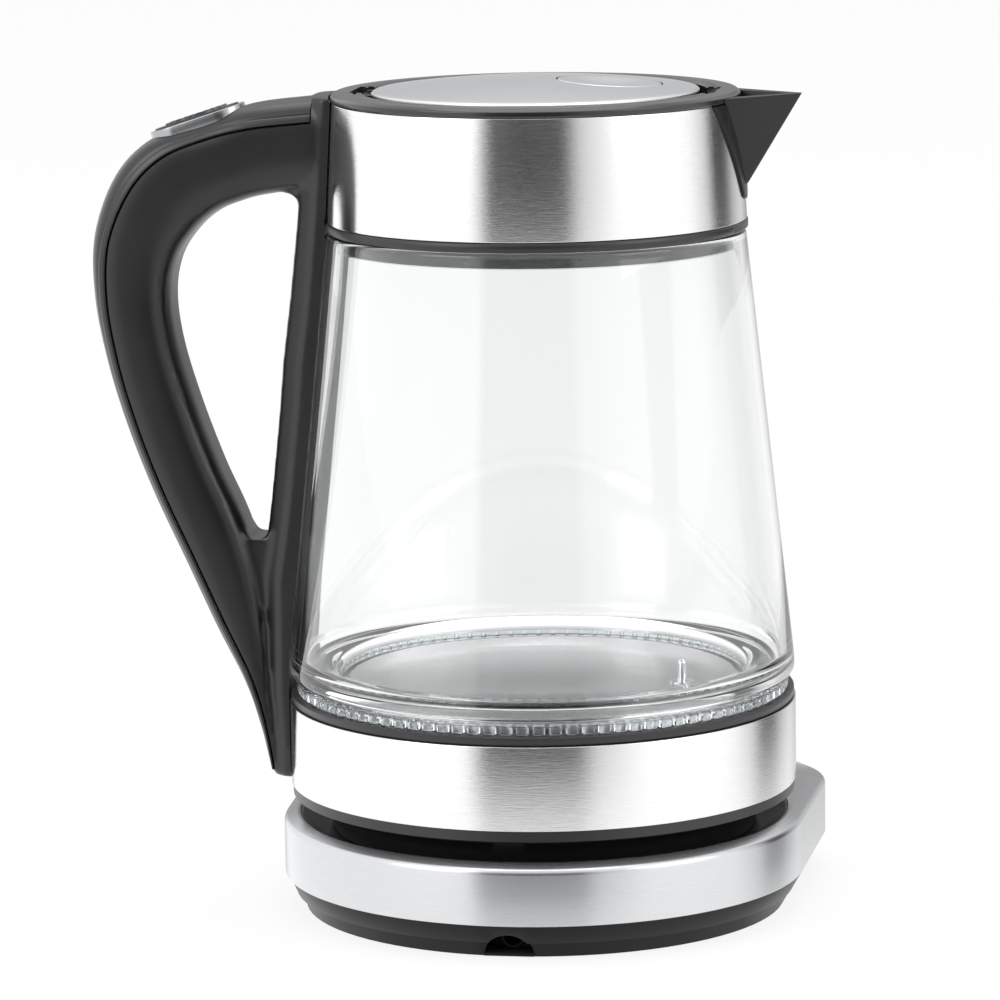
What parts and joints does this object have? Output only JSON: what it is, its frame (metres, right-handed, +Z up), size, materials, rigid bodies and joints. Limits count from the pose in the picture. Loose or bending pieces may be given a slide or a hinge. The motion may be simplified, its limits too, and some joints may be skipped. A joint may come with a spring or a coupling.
{
  "type": "electric kettle",
  "caption": "Cordless glass electric kettle with steel bands, hinged lid, loop handle and spout, standing on a steel power base with a control strip.",
  "frame": {"origin": "on the kettle's axis, in the plane of the rubber feet that the base stands on", "axes": "+Z up along the axis, +X towards the spout, -X towards the handle, +Y towards the control strip of the base"},
  "size_m": [0.2211, 0.1782, 0.2536],
  "materials": {
    "brushed_steel": "fine brushed",
    "polished_steel": "polished",
    "chrome": "polished",
    "zinc_steel": "zinc plated",
    "black_plastic": "fine matt",
    "grey_plastic": "satin",
    "white_plastic": "matt",
    "silver_plastic": "satin metallic",
    "gloss_black": "gloss",
    "circuit_board": "lacquered",
    "black_rubber": "matt",
    "silicone": "satin translucent",
    "clear_acrylic": "clear",
    "borosilicate_glass": "clear",
    "brass": "satin",
    "aluminium_alloy": "as drawn"
  },
  "bodies": {
    "power_base": {"base_shell": "brushed_steel", "base_tray": "black_plastic", "cord_gland": "black_rubber", "rubber_feet": "black_rubber", "base_screws": "zinc_steel", "base_deck": "black_plastic", "base_coupler": "black_plastic", "base_contacts": "brass", "control_panel": "gloss_black", "display_window": "gloss_black", "control_board": "circuit_board"},
    "power_key": {"power_key": "silver_plastic"},
    "cooler_key": {"cooler_key": "silver_plastic"},
    "hotter_key": {"hotter_key": "silver_plastic"},
    "keep_warm_key": {"keep_warm_key": "silver_plastic"},
    "connector": {"kettle_connector": "black_plastic", "connector_contacts": "brass"},
    "kettle": {"bottom_cover": "black_plastic", "bottom_screws": "zinc_steel", "lower_band": "brushed_steel", "lower_housing": "black_plastic", "led_board": "circuit_board", "light_ring": "clear_acrylic", "heater_plate": "polished_steel", "temperature_probe": "polished_steel", "heating_element": "aluminium_alloy", "plate_seal": "silicone", "glass_body": "borosilicate_glass", "glass_top_seal": "silicone", "neck_housing": "black_plastic", "upper_band": "brushed_steel", "spout": "black_plastic", "spout_filter": "polished_steel", "top_collar": "grey_plastic", "hinge_pin": "polished_steel", "lid_spring": "polished_steel", "handle_body": "black_plastic", "handle_cover": "black_plastic", "handle_screws": "zinc_steel", "button_bezel": "chrome", "button_spring": "polished_steel"},
    "lid": {"lid_plate": "brushed_steel", "lid_press_disc": "brushed_steel", "lid_inner": "black_plastic", "lid_keeper": "zinc_steel", "lid_seal": "silicone"},
    "release_button": {"release_button": "grey_plastic"},
    "latch": {"latch_slider": "white_plastic"}
  },
  "joints": [
    {"name": "power_key_press", "type": "slide", "parent": "power_base", "child": "power_key", "axis": [0, 0, -1], "range_m": [0, 0.0006], "stiffness_N_per_m": 400, "springref_m": -0.0005},
    {"name": "cooler_key_press", "type": "slide", "parent": "power_base", "child": "cooler_key", "axis": [0, 0, -1], "range_m": [0, 0.0006], "stiffness_N_per_m": 400, "springref_m": -0.0005},
    {"name": "hotter_key_press", "type": "slide", "parent": "power_base", "child": "hotter_key", "axis": [0, 0, -1], "range_m": [0, 0.0006], "stiffness_N_per_m": 400, "springref_m": -0.0005},
    {"name": "keep_warm_key_press", "type": "slide", "parent": "power_base", "child": "keep_warm_key", "axis": [0, 0, -1], "range_m": [0, 0.0006], "stiffness_N_per_m": 400, "springref_m": -0.0005},
    {"name": "kettle_lift", "type": "slide", "parent": "power_base", "child": "connector", "axis": [0, 0, 1], "range_m": [0, 0.06]},
    {"name": "kettle_swivel", "type": "hinge", "parent": "connector", "child": "kettle", "pos_m": [0, 0, 0.03], "axis": [0, 0, 1], "continuous": true},
    {"name": "lid_hinge", "type": "hinge", "parent": "kettle", "child": "lid", "pos_m": [-0.0522, 0, 0.2467], "axis": [0, -1, 0], "range_deg": [0, 80]},
    {"name": "button_press", "type": "slide", "parent": "kettle", "child": "release_button", "axis": [0.309, 0, -0.9511], "range_m": [0, 0.003], "stiffness_N_per_m": 300, "springref_m": -0.002, "deforming": ["button_spring"]},
    {"name": "latch_slide", "type": "slide", "parent": "kettle", "child": "latch", "axis": [-1, 0, 0], "range_m": [0, 0.003]}
  ],
  "couplings": [
    {"joint": "latch_slide", "follows": "button_press", "ratio": 1}
  ]
}
